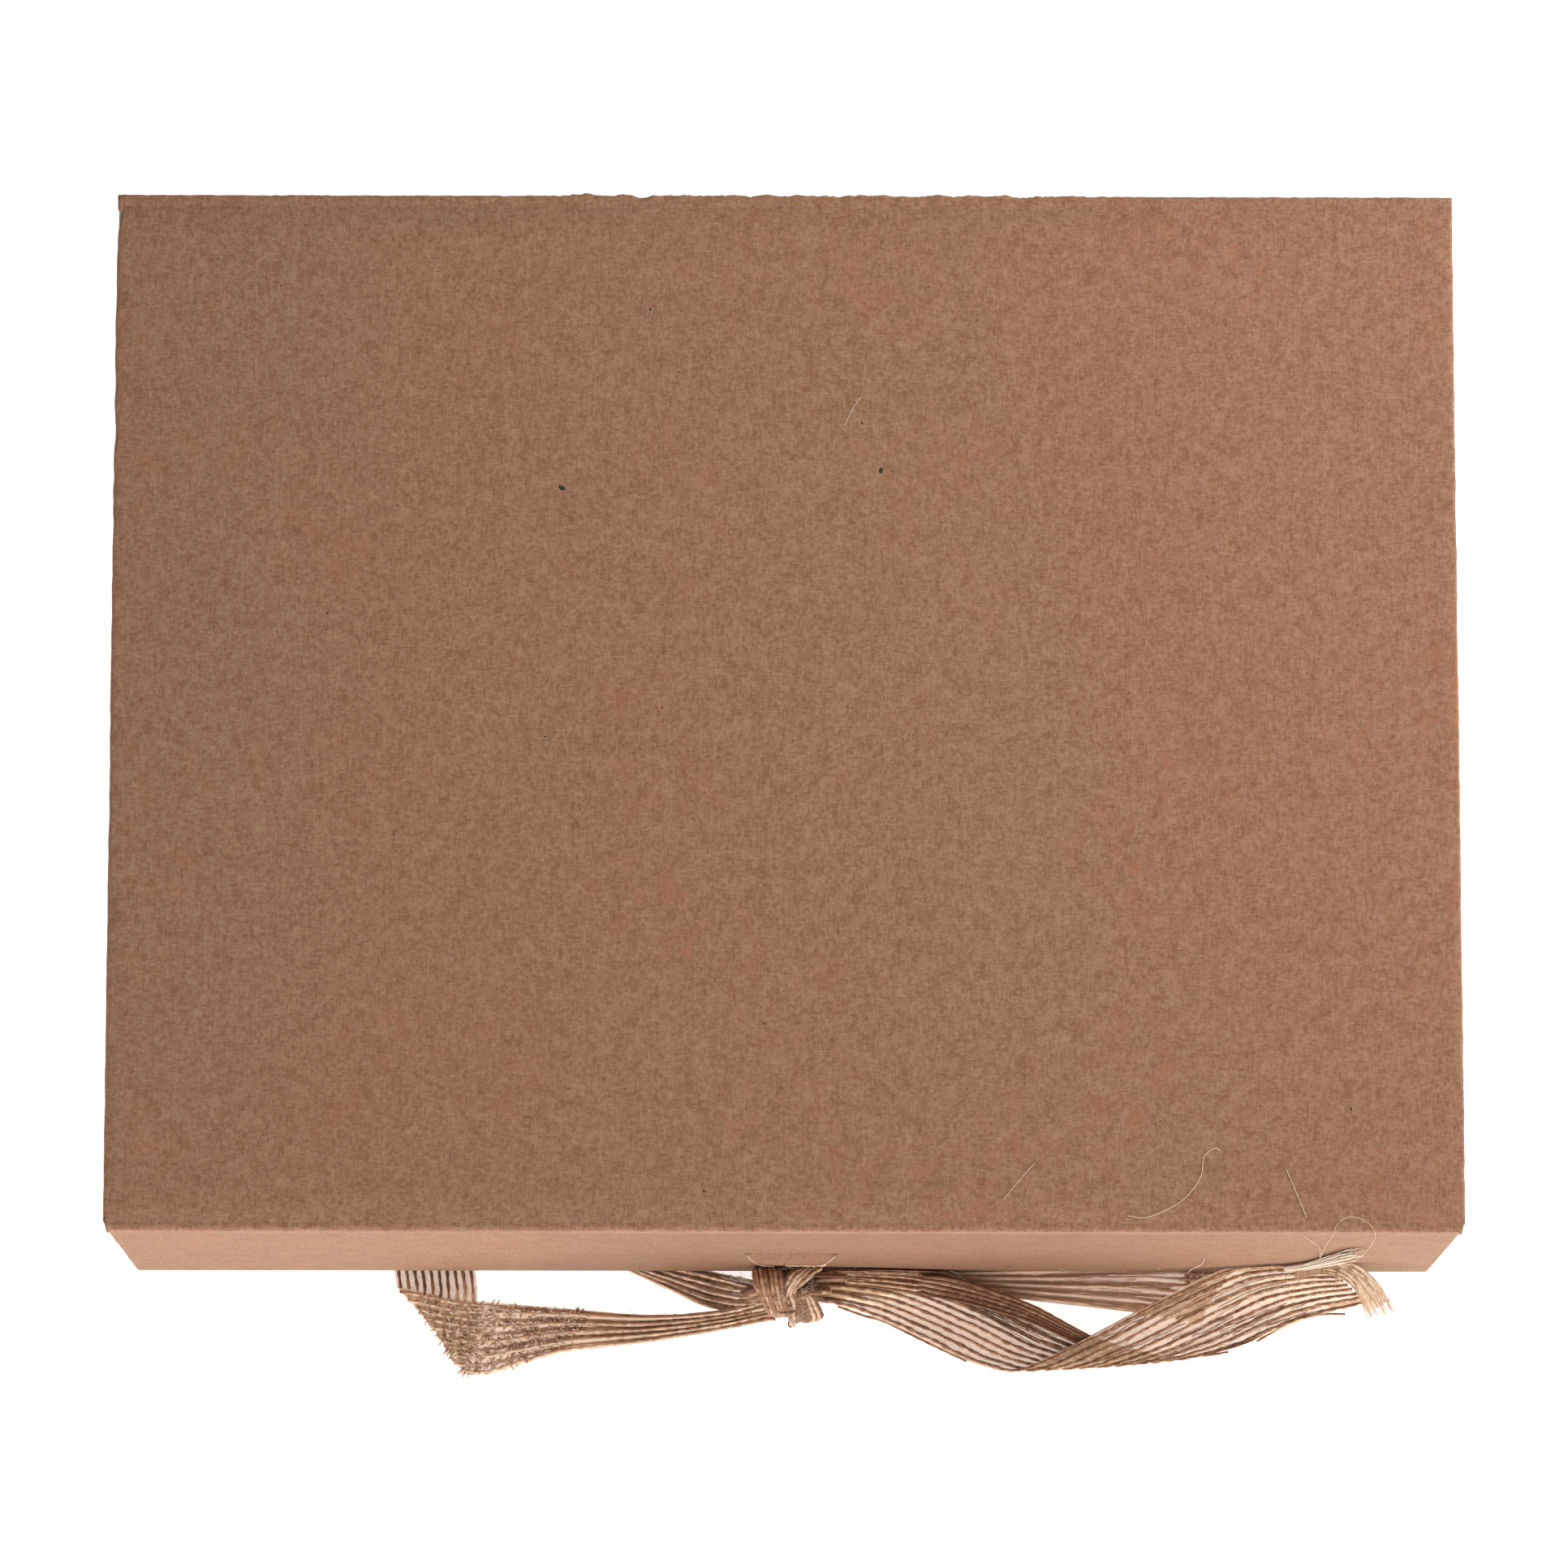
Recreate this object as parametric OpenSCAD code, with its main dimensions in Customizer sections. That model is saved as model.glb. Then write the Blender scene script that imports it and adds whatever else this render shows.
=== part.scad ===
// Book-style kraft gift box with a front flap and a tied jute ribbon.
// Rigid set-up box: greyboard panels covered in kraft paper. A shallow tray is glued
// to the bottom and spine boards of a wrap-round case. The lid folds up at the spine,
// the front flap folds up at the front edge of the lid, and a ribbon tied in front
// of the flap keeps the box shut.
// Millimetres. +Z is up, the flap faces -Y, the underside rests on Z = 0.

/* [Box] */
// Outer width of the case
box_w = 260; // [180:1:360]
// Outer depth of the case, flap included
box_d = 203; // [150:1:280]
// Outer height with the lid shut
box_h = 70; // [60:1:110]
// Greyboard thickness
board_t = 2.0; // [1.5:0.1:2.5]
// Kraft paper thickness
paper_t = 0.3; // [0.2:0.05:0.4]

/* [Tray] */
// Ledge between the tray side wall and the edge of the case
ledge = 2.5; // [1.5:0.5:6]
// Depth of the paper turned in over the tray rim
rim_turn = 15; // [8:1:25]
// Space between the tray front and the flap for the ribbon
ribbon_gap = 1.8; // [1.4:0.1:4]
// Leg of the paper stays that join the tray corners
stay_leg = 12; // [8:1:18]

/* [Lid and flap] */
// Width of the board-free paper band at the back fold
back_band = 2.8; // [2.6:0.1:6]
// Width of the board-free paper band at the front fold
front_band = 1.7; // [1.5:0.1:4]
// Height of the flap's lower edge above the table
flap_foot = 3; // [2:0.5:8]
// Setback of the flap ends from the lid ends
flap_inset = 0.8; // [0.5:0.1:3]
// Extra setback of the flap ends at the lower edge
flap_taper = 1.2; // [0:0.1:4]
// Width of the paper turned in round the lid and flap boards
lid_turn = 12; // [6:1:20]

/* [Tongue] */
// Height of the tongue's fold above the table
tongue_z = 33; // [24:0.5:45]
// Centre of the tongue to the right of the middle
tongue_x = 1.5; // [-6:0.5:6]
// Width of the tongue at its fold
tongue_top = 18.4; // [14:0.2:26]
// Width of the tongue at its tip
tongue_tip = 14.4; // [10:0.2:22]
// Length of the tongue from fold to tip
tongue_len = 6; // [5:0.5:10]
// Thickness of the tongue
tongue_t = 0.8; // [0.5:0.1:1]
// Angle at which the tongue stands off the flap, held by the ribbon under it
tongue_lift = 17; // [10:1:35]
// Width of the cut left round the tongue
tongue_cut = 0.35; // [0.3:0.05:0.6]

/* [Ribbon] */
// Ribbon width
ribbon_w = 16; // [10:1:20]
// Ribbon thickness
ribbon_t = 0.5; // [0.4:0.1:0.6]
// Distance of each ribbon slot from the middle
slot_x = 70; // [40:1:90]
// Height of the ribbon slots above the table
slot_z = 8; // [6:1:20]
// Height of a ribbon slot
slot_h = 1.6; // [1.4:0.1:3]
// Length of ribbon glued inside the tray
anchor_len = 18; // [10:1:30]
// Height of the knot
knot_h = 13; // [10:1:14]

/* [Hidden] */
kraft = [0.62, 0.47, 0.36];
greyboard = [0.55, 0.53, 0.50];
jute = [0.60, 0.47, 0.35];

half_w = box_w / 2;
half_d = box_d / 2;

// Tray: outer faces of its wrap and of its boards
tray_x = half_w - ledge;
tray_front = half_d - paper_t - board_t - paper_t - ribbon_gap;
tray_back = half_d - paper_t - board_t;
tray_foot = paper_t + board_t;
rim_z = box_h - 2 * paper_t - board_t - 0.3;
wall_top = rim_z - paper_t;
floor_top = tray_foot + board_t;
inner_x = tray_x - paper_t - board_t;
inner_front = tray_front - paper_t - board_t;
inner_back = tray_back - paper_t - board_t;

// Lid: underside of the lining, underside and top of the board
lid_low = box_h - 2 * paper_t - board_t;
lid_board_z = box_h - paper_t - board_t;
lid_top_z = box_h - paper_t;
lid_front = half_d - front_band;
lid_back = half_d - back_band;

// Flap: ends of its board at the top and bottom
flap_top = rim_z - 0.1;
flap_x1 = half_w - flap_inset;
flap_x0 = flap_x1 - flap_taper;
flap_y = half_d - paper_t - board_t - paper_t;

stay_t = paper_t / 2;

// A box from its two opposite corners
module block(a, b) {
  translate(a) cube([b[0] - a[0], b[1] - a[1], b[2] - a[2]]);
}

// A flat shape in the XZ plane, extruded from y0 towards +Y
module upright(y0, t) {
  translate([0, y0 + t, 0]) rotate([90, 0, 0]) linear_extrude(t) children();
}

// Outline of the flap, set in by the given margin
module flap_outline(m) {
  polygon([[-flap_x0 + m, flap_foot + m], [flap_x0 - m, flap_foot + m],
    [flap_x1 - m, flap_top], [-flap_x1 + m, flap_top]]);
}

// Window cut in the flap for the tongue, with the cut left round it
module tongue_window() {
  c = tongue_cut;
  polygon([[tongue_x - tongue_top / 2 - c, tongue_z + c], [tongue_x + tongue_top / 2 + c, tongue_z + c],
    [tongue_x + tongue_tip / 2 + c, tongue_z - tongue_len - c],
    [tongue_x - tongue_tip / 2 - c, tongue_z - tongue_len - c]]);
}

// Openings in the tray front through which the ribbon ends pass
module ribbon_slots() {
  for (s = [-1, 1])
    block([s * slot_x - ribbon_w / 2 - 0.5, -tray_front - 1, slot_z],
      [s * slot_x + ribbon_w / 2 + 0.5, -inner_front + 2, slot_z + slot_h]);
}

module bottom_board() color(greyboard)
  block([-half_w + paper_t, -tray_front + paper_t, paper_t],
    [half_w - paper_t, half_d - paper_t, tray_foot]);

module spine_board() color(greyboard)
  block([-half_w + paper_t, tray_back, tray_foot], [half_w - paper_t, half_d - paper_t, rim_z]);

// Kraft sheet under the bottom board, up the spine and turned round both boards
module cover_paper_base() color(kraft) difference() {
  union() {
    block([-half_w, -tray_front, 0], [half_w, half_d, tray_foot + paper_t]);
    block([-half_w, tray_back - paper_t, 0], [half_w, half_d, rim_z]);
    block([-half_w, half_d - paper_t, 0], [half_w, half_d, box_h - 0.4]);
  }
  bottom_board();
  spine_board();
  block([-tray_x, -half_d, tray_foot], [tray_x, tray_back, box_h]);
}

module tray_floor_board() color(greyboard)
  block([-inner_x, -inner_front, tray_foot], [inner_x, inner_back, floor_top]);

module tray_front_wall() color(greyboard) difference() {
  block([-inner_x - board_t, -tray_front + paper_t, tray_foot],
    [inner_x + board_t, -inner_front, wall_top]);
  ribbon_slots();
}

module tray_back_wall() color(greyboard)
  block([-inner_x - board_t, inner_back, tray_foot],
    [inner_x + board_t, tray_back - paper_t, wall_top]);

module tray_side_wall() color(greyboard)
  block([inner_x, -inner_front, tray_foot], [inner_x + board_t, inner_back, wall_top]);

module tray_right_wall() tray_side_wall();

module tray_left_wall() mirror([1, 0, 0]) tray_side_wall();

// Four L-shaped paper strips that hold the tray corners together
module corner_stays() color(kraft) {
  x1 = tray_x - stay_t;
  x0 = x1 - stay_t;
  yb1 = tray_back - stay_t;
  yb0 = yb1 - stay_t;
  yf1 = tray_front - stay_t;
  yf0 = yf1 - stay_t;
  for (s = [0, 1]) mirror([s, 0, 0]) {
    block([x0, yb1 - stay_leg, tray_foot + 1], [x1, yb1, wall_top - 1]);
    block([x1 - stay_leg, yb0, tray_foot + 1], [x1, yb1, wall_top - 1]);
    block([x0, -yf1, tray_foot + 1], [x1, -yf1 + stay_leg, wall_top - 1]);
    block([x1 - stay_leg, -yf1, tray_foot + 1], [x1, -yf0, wall_top - 1]);
  }
}

// Kraft sheet round the outside of the tray, over its rim and down the inside
module tray_wrap() color(kraft) difference() {
  block([-tray_x, -tray_front, tray_foot], [tray_x, tray_back, rim_z]);
  block([-inner_x - board_t, -tray_front + paper_t, tray_foot - 1],
    [inner_x + board_t, tray_back - paper_t, wall_top - rim_turn]);
  block([-inner_x + paper_t, -inner_front + paper_t, tray_foot - 1],
    [inner_x - paper_t, inner_back - paper_t, box_h]);
  tray_front_wall();
  tray_back_wall();
  tray_left_wall();
  tray_right_wall();
  corner_stays();
  ribbon_slots();
}

module tray_wall_lining() color(kraft) difference() {
  block([-inner_x, -inner_front, floor_top], [inner_x, inner_back, wall_top - rim_turn]);
  block([-inner_x + paper_t, -inner_front + paper_t, floor_top - 1],
    [inner_x - paper_t, inner_back - paper_t, box_h]);
  ribbon_slots();
}

module tray_floor_lining() color(kraft)
  block([-inner_x + paper_t, -inner_front + paper_t, floor_top],
    [inner_x - paper_t, inner_back - paper_t, floor_top + paper_t]);

// Ribbon end: glued up the inside of the tray front, out through the slot, down the
// outside and forward under the flap
module ribbon_anchor(side) color(jute) {
  x0 = side * slot_x - ribbon_w / 2;
  x1 = side * slot_x + ribbon_w / 2;
  y_in = -inner_front + paper_t;
  y_out = -tray_front;
  z_s = slot_z + 0.5;
  block([x0, y_in, z_s], [x1, y_in + ribbon_t, z_s + anchor_len]);
  block([x0, y_out - ribbon_t, z_s], [x1, y_in + ribbon_t, z_s + ribbon_t]);
  block([x0, y_out - ribbon_t, 0.6], [x1, y_out, z_s + ribbon_t]);
  block([x0, -half_d - 0.4, 0.6], [x1, y_out, 0.6 + ribbon_t]);
}

module ribbon_left_anchor() ribbon_anchor(-1);

module ribbon_right_anchor() ribbon_anchor(1);

// A flat layer of ribbon lying in front of the flap
module ribbon_layer(z, outline) {
  translate([0, 0, z]) linear_extrude(ribbon_t) polygon(outline);
}

// Left strand: forward from under the flap, folded over and run to the knot
module ribbon_left_strand() color(jute) {
  f = half_d;
  ribbon_layer(0.6, [[-78, -f - 0.8], [-62, -f - 0.8], [-61, -f - 8], [-58.5, -f - 21.5],
    [-64, -f - 21.5], [-72, -f - 13], [-76, -f - 6]]);
  ribbon_layer(0.6 + ribbon_t, [[-61, -f - 7], [-42, -f - 9], [-26, -f - 10], [-8.5, -f - 8.5],
    [-8.5, -f - 12.5], [-26, -f - 15.5], [-42, -f - 17.5], [-58.5, -f - 21.5]]);
}

// Right strand: from under the flap to the knot, beneath the long tail
module ribbon_right_strand() color(jute) {
  f = half_d;
  ribbon_layer(0.6, [[78, -f - 0.8], [80, -f - 3], [70, -f - 9.5], [43, -f - 6.5], [13, -f - 8],
    [11.5, -f - 5], [13, -f - 2], [36, -f - 1.2], [62, -f - 0.8]]);
}

// Knot: a rounded core lying left to right, with two raised turns of ribbon round it
module ribbon_knot() color(jute) {
  r = knot_h / 2 - 0.4;
  translate([1.3, -half_d - 0.7 - r, 0.9 + r]) rotate([0, 90, 0]) rotate_extrude($fn = 48)
    polygon([[0, -7.2], [3.4, -7.2], [5, -6.2], [r, -4.8], [r, -1.6], [5, -0.6], [5, 1.4],
      [5.6, 2.4], [5.6, 5.2], [3.4, 7.2], [0, 7.2]]);
}

// Long tail: from the knot down to the right, folded flat and run on to its frayed end
module ribbon_long_tail() color(jute) {
  f = half_d;
  ribbon_layer(1.2, [[11.5, -f - 1.6], [30, -f - 1.4], [61, -f - 14.5], [49, -f - 21.5],
    [38, -f - 20.5], [25, -f - 13], [12.5, -f - 8.5]]);
  ribbon_layer(1.2 + ribbon_t, [[47.5, -f - 21.5], [61, -f - 14.5], [86, -f - 2.3], [99, -f - 1.2],
    [115, -f - 1.2], [119, -f - 9], [115, -f - 8], [102, -f - 11], [86, -f - 17], [70, -f - 19]]);
}

// Short tail: from the knot back to the left, its end tucked against the flap
module ribbon_short_tail() color(jute) {
  f = half_d;
  ribbon_layer(1.8, [[-8.5, -f - 3.5], [-8.5, -f - 7.9], [-14, -f - 7.8], [-22, -f - 4.5],
    [-30, -f - 1], [-22, -f - 0.7], [-12, -f - 0.8]]);
}

// Board-free strip of the cover paper that bends at the spine
module back_hinge_paper() color(kraft)
  block([-half_w, lid_back, lid_top_z], [half_w, half_d, box_h]);

module lid_board() color(greyboard)
  block([-half_w + paper_t, -lid_front, lid_board_z], [half_w - paper_t, lid_back, lid_top_z]);

// Cover paper on the lid, turned round its two ends
module cover_paper_lid() color(kraft) difference() {
  block([-half_w, -lid_front, lid_low], [half_w, lid_back, box_h]);
  lid_board();
  block([-half_w + lid_turn, -half_d, lid_low - 1], [half_w - lid_turn, half_d, lid_board_z]);
}

module lid_lining() color(kraft)
  block([-half_w + lid_turn, -lid_front, lid_low], [half_w - lid_turn, lid_back, lid_board_z]);

// Board-free strip of the cover paper that bends at the front edge of the lid
module front_hinge_paper() color(kraft) {
  block([-half_w, -half_d, lid_top_z], [half_w, -lid_front, box_h]);
  block([-flap_x1, -half_d, flap_top + 0.4], [flap_x1, -half_d + paper_t, lid_top_z]);
}

module flap_board() color(greyboard) difference() {
  upright(-half_d + paper_t, board_t) flap_outline(paper_t);
  upright(-half_d - 1, board_t + 3) tongue_window();
}

// Cover paper on the flap, turned round its lower edge and ends
module cover_paper_flap() color(kraft) difference() {
  upright(-half_d, 2 * paper_t + board_t) flap_outline(0);
  upright(-half_d + paper_t, board_t) flap_outline(paper_t);
  upright(-half_d + paper_t + board_t, 2 * paper_t) flap_outline(lid_turn);
  upright(-half_d - 1, board_t + 3) tongue_window();
}

module flap_lining() color(kraft) difference() {
  upright(-half_d + paper_t + board_t, paper_t) flap_outline(lid_turn);
  upright(-half_d - 1, board_t + 3) tongue_window();
}

// Short ribbon glued to the back of the flap, out through the window and down
module flap_ribbon() color(jute) {
  w = ribbon_w / 4;
  x = tongue_x + 3;
  z = tongue_z - tongue_len + 0.6;
  block([x - w, -flap_y, z], [x + w, -flap_y + ribbon_t, z + 30]);
  block([x - w, -half_d - 0.1 - ribbon_t, z], [x + w, -flap_y + ribbon_t, z + ribbon_t]);
  block([x - w, -half_d - 0.1 - ribbon_t, z - 5.5], [x + w, -half_d - 0.1, z + ribbon_t]);
}

// Die-cut tongue that stands off the flap over the ribbon
module flap_tongue() color(kraft)
  translate([tongue_x, -half_d, tongue_z]) rotate([-tongue_lift, 0, 0])
    upright(0, tongue_t) polygon([[-tongue_top / 2, 0], [tongue_top / 2, 0],
      [tongue_tip / 2, -tongue_len], [-tongue_tip / 2, -tongue_len]]);

bottom_board();
spine_board();
cover_paper_base();
tray_floor_board();
tray_front_wall();
tray_back_wall();
tray_left_wall();
tray_right_wall();
corner_stays();
tray_wrap();
tray_wall_lining();
tray_floor_lining();
ribbon_left_anchor();
ribbon_right_anchor();
ribbon_left_strand();
ribbon_right_strand();
ribbon_knot();
ribbon_long_tail();
ribbon_short_tail();
back_hinge_paper();
lid_board();
cover_paper_lid();
lid_lining();
front_hinge_paper();
flap_board();
cover_paper_flap();
flap_lining();
flap_ribbon();
flap_tongue();
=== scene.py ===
import math
import random
from math import cos, pi, sin

import bmesh
import bpy
from mathutils import Matrix, Vector, noise


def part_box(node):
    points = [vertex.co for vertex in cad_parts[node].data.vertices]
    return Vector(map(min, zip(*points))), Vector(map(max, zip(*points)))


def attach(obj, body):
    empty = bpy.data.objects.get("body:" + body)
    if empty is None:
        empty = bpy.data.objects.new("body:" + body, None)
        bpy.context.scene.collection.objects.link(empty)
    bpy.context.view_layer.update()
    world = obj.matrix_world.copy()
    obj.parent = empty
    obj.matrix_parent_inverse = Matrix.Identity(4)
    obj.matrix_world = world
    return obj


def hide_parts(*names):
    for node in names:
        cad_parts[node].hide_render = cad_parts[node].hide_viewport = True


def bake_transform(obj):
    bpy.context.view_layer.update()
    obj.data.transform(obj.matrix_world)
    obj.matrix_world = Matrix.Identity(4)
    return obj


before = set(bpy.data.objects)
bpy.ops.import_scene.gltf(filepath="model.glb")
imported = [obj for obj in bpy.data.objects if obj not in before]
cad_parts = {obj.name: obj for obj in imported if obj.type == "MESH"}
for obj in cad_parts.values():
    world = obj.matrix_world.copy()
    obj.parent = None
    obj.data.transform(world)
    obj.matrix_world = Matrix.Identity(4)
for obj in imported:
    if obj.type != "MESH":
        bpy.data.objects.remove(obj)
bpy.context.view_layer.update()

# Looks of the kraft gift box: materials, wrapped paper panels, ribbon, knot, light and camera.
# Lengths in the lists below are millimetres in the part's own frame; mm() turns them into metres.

random.seed(11)
uniform = random.uniform


def mm(p):
    """The point in metres."""
    return Vector(p) * 0.001


def node_box(name):
    """Lowest and highest corner of a CAD piece, in millimetres."""
    lo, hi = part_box(name)
    return lo * 1000, hi * 1000


# ---- shapes ----

CURVE_STEPS = 24  # straight pieces between two given points of a curve
PLY, TURNS = 0.16, 2.4  # spun yarn: how oval its section is, and its turn in radians per millimetre


def lerp(a, b, t):
    return a + (b - a) * t


def unit(t):
    """t held between 0 and 1."""
    return min(1.0, max(0.0, t))


def peak(t, middle, reach):
    """1 at the middle, falling evenly to 0 at its reach."""
    return max(0.0, 1 - abs(t - middle) / reach)


def high(z):
    """A step straight up."""
    return Vector((0, 0, z))


def random_vector(x=(-1, 1), y=(-1, 1), z=(-1, 1)):
    """Each part drawn from its own range."""
    return Vector((uniform(*x), uniform(*y), uniform(*z)))


def spline(points, n):
    """n points spaced evenly along a smooth curve through the given points."""
    p = [Vector(q) for q in points]
    p = [p[0] * 2 - p[1]] + p + [p[-1] * 2 - p[-2]]
    dense = []
    for i in range(1, len(p) - 2):
        a, b, c, d = p[i - 1], p[i], p[i + 1], p[i + 2]
        for k in range(CURVE_STEPS):
            t = k / CURVE_STEPS
            dense.append(0.5 * (2 * b + (c - a) * t + (2 * a - 5 * b + 4 * c - d) * t * t
                                + (3 * b - a - 3 * c + d) * t ** 3))
    dense.append(p[-2])
    run = [0.0]
    for a, b in zip(dense, dense[1:]):
        run.append(run[-1] + (b - a).length)
    out, j = [], 0
    for i in range(n):
        s = run[-1] * i / (n - 1)
        while j < len(run) - 2 and run[j + 1] < s:
            j += 1
        gap = run[j + 1] - run[j]
        out.append(dense[j].lerp(dense[j + 1], (s - run[j]) / gap if gap > 1e-9 else 0.0))
    return out


def link(name, data):
    """A new object in the scene."""
    o = bpy.data.objects.new(name, data)
    bpy.context.scene.collection.objects.link(o)
    return o


def new_object(name, mesh, material, body, smooth=True):
    """A mesh as an object in the scene, riding on a body where one is named."""
    mesh.materials.append(material)
    if smooth:
        for f in mesh.polygons:
            f.use_smooth = True
    o = link(name, mesh)
    if body:
        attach(o, body)
    return o


class Build:
    """Collects tubes and strips into one mesh, with a UV map in millimetres and a tone per strand."""

    def __init__(self):
        self.v, self.f, self.uv, self.tone = [], [], [], []

    def tube(self, pts, radius, sides, tone, spun=False):
        """A round strand. Its radius and tone are numbers or functions of 0 to 1 along it."""
        n, ply = len(pts), PLY if spun else 0.0
        if n < 2:
            return
        base, run, side = len(self.v), 0.0, Vector((0.31, 0.17, 0.93))
        for i, p in enumerate(pts):
            t = pts[min(i + 1, n - 1)] - pts[max(i - 1, 0)]
            t = t.normalized() if t.length > 1e-9 else Vector((1, 0, 0))
            side = side - t * side.dot(t)
            if side.length < 1e-3:
                side = t.orthogonal()
            side.normalize()
            up = t.cross(side)
            if i:
                run += (p - pts[i - 1]).length
            r = radius(i / (n - 1)) if callable(radius) else radius
            for k in range(sides):
                a = 2 * pi * k / sides
                rr = r * (1 + ply * cos(2 * a - TURNS * run))
                self.v.append(p + side * (cos(a) * rr) + up * (sin(a) * rr))
                self.uv.append((run, k / sides))
                self.tone.append(tone(i / (n - 1)) if callable(tone) else tone)
        for i in range(n - 1):
            for k in range(sides):
                a, b = base + i * sides + k, base + i * sides + (k + 1) % sides
                self.f.append((a, b, b + sides, a + sides))
        self.f.append(tuple(base + k for k in reversed(range(sides))))
        self.f.append(tuple(base + (n - 1) * sides + k for k in range(sides)))

    def strip(self, rows, lengths, across):
        """A sheet through rows of points, at these lengths along it and places across it."""
        base, w = len(self.v), len(rows[0])
        for row, s in zip(rows, lengths):
            for p, u in zip(row, across):
                self.v.append(p)
                self.uv.append((s, u))
                self.tone.append(0.5)
        for i in range(len(rows) - 1):
            for k in range(w - 1):
                a = base + i * w + k
                self.f.append((a, a + 1, a + w + 1, a + w))

    def hair(self, start, direction, length, radius=0.04, tone=0.8):
        """A short loose fibre that curls and stays above the ground."""
        d, p, pts = Vector(direction).normalized(), Vector(start), [Vector(start)]
        bend, steps = random_vector() * 0.6, 5
        for _ in range(steps):
            d = (d + bend * 0.25).normalized()
            p = p + d * (length / steps)
            p.z = max(p.z, 0.15)
            pts.append(p.copy())
        self.tube(pts, lambda t: radius * (1 - 0.5 * t), 3, tone)

    def place(self, name, material, body):
        """What was collected, as an object."""
        me = bpy.data.meshes.new(name)
        me.from_pydata([mm(p) for p in self.v], [], self.f)
        layer = me.uv_layers.new(name="UVMap")
        for loop in me.loops:
            layer.data[loop.index].uv = self.uv[loop.vertex_index]
        att = me.attributes.new("tone", "FLOAT", "POINT")
        att.data.foreach_set("value", self.tone)
        me.update()
        return new_object(name, me, material, body)


# ---- materials ----

class Nodes:
    """A material being put together: its node tree, its shader and short ways to add to them."""

    def __init__(self, name):
        self.material = bpy.data.materials.new(name)
        self.material.use_nodes = True
        self.tree = self.material.node_tree
        self.shader = self.tree.nodes["Principled BSDF"]

    def new(self, kind, **props):
        node = self.tree.nodes.new("ShaderNode" + kind)
        for key, value in props.items():
            setattr(node, key, value)
        return node

    def put(self, socket, value):
        """Sets a socket to a number, vector or colour, or links it to another node's output."""
        if isinstance(value, (int, float)):
            socket.default_value = value
        elif isinstance(value, tuple):
            socket.default_value = (*value, 1) if socket.type == "RGBA" else value
        else:
            self.tree.links.new(value, socket)

    def fill(self, node, **values):
        for key, value in values.items():
            self.put(node.inputs[key.replace("_", " ")], value)
        return node

    def coord(self, which):
        return self.new("TexCoord").outputs[which]

    def math(self, operation, a, b):
        node = self.new("Math", operation=operation)
        self.put(node.inputs[0], a)
        self.put(node.inputs[1], b)
        return node.outputs["Value"]

    def times(self, a, b):
        return self.math("MULTIPLY", a, b)

    def plus(self, a, b):
        return self.math("ADD", a, b)

    def noise(self, vector, scale, detail=3.0, rough=0.6, stretch=None):
        if stretch:
            vector = self.fill(self.new("Mapping"), Vector=vector, Scale=stretch).outputs["Vector"]
        node = self.new("TexNoise")
        return self.fill(node, Vector=vector, Scale=scale, Detail=detail, Roughness=rough).outputs["Fac"]

    def ramp(self, value, *stops):
        node = self.fill(self.new("ValToRGB"), Fac=value)
        elements = node.color_ramp.elements
        while len(elements) < len(stops):
            elements.new(0.5)
        for e, (position, colour) in zip(elements, stops):
            e.position, e.color = position, (*colour, 1)
        return node.outputs["Color"]

    def mix(self, factor, a, b):
        node = self.fill(self.new("Mix", data_type="RGBA"), Factor=factor, A=a, B=b)
        return node.outputs["Result"]

    def remap(self, value, lo, hi):
        return self.fill(self.new("MapRange"), Value=value, To_Min=lo, To_Max=hi).outputs["Result"]

    def fade(self, value, start, full, floor=0.0):
        """A soft step, from the floor at start to 1 at full."""
        node = self.new("MapRange", interpolation_type="SMOOTHSTEP")
        self.fill(node, Value=value, From_Min=start, From_Max=full, To_Min=floor)
        return node.outputs["Result"]

    def finish(self, height, strength, distance, **shader):
        """Sets the shader's sockets and its bump, and returns the material."""
        bump = self.fill(self.new("Bump"), Strength=strength, Distance=distance, Height=height)
        self.fill(self.shader, Normal=bump.outputs["Normal"], **shader)
        return self.material


BLACK, WHITE = (0, 0, 0), (1, 1, 1)
FLECK = (0.06, 0.035, 0.022)
# painted shade: the dark brown that the flap's shaded stretch is mixed towards
PAINT_FOR_SHADE = (0.10, 0.032, 0.010)


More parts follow.
